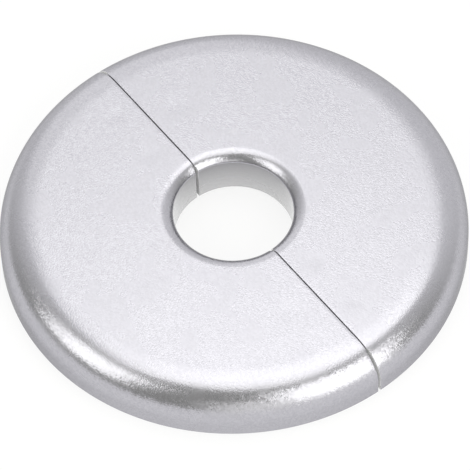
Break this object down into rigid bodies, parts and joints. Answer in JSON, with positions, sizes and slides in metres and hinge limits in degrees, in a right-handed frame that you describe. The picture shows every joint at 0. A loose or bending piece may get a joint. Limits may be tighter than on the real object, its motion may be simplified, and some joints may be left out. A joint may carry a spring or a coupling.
{
  "type": "radiator pipe collar",
  "caption": "Flat round collar split across its middle, with a rounded rim and a lipped bore; its halves push together round a heating pipe and hide the hole in the wall.",
  "frame": {"origin": "on the pipe's axis, in the plane of the wall that the rim rests on", "axes": "+Z along the pipe, away from the wall; X along the parting line; the front half is on the -Y side"},
  "size_m": [0.06, 0.06, 0.0065],
  "materials": {
    "silver_moulding": "satin silver metallic paint on moulded plastic"
  },
  "bodies": {
    "front": {"front_half": "silver_moulding"},
    "rear": {"rear_half": "silver_moulding"}
  },
  "joints": [
    {"name": "halves_pull_apart", "type": "slide", "parent": "front", "child": "rear", "axis": [0, 1, 0], "range_m": [0, 0.02]}
  ]
}
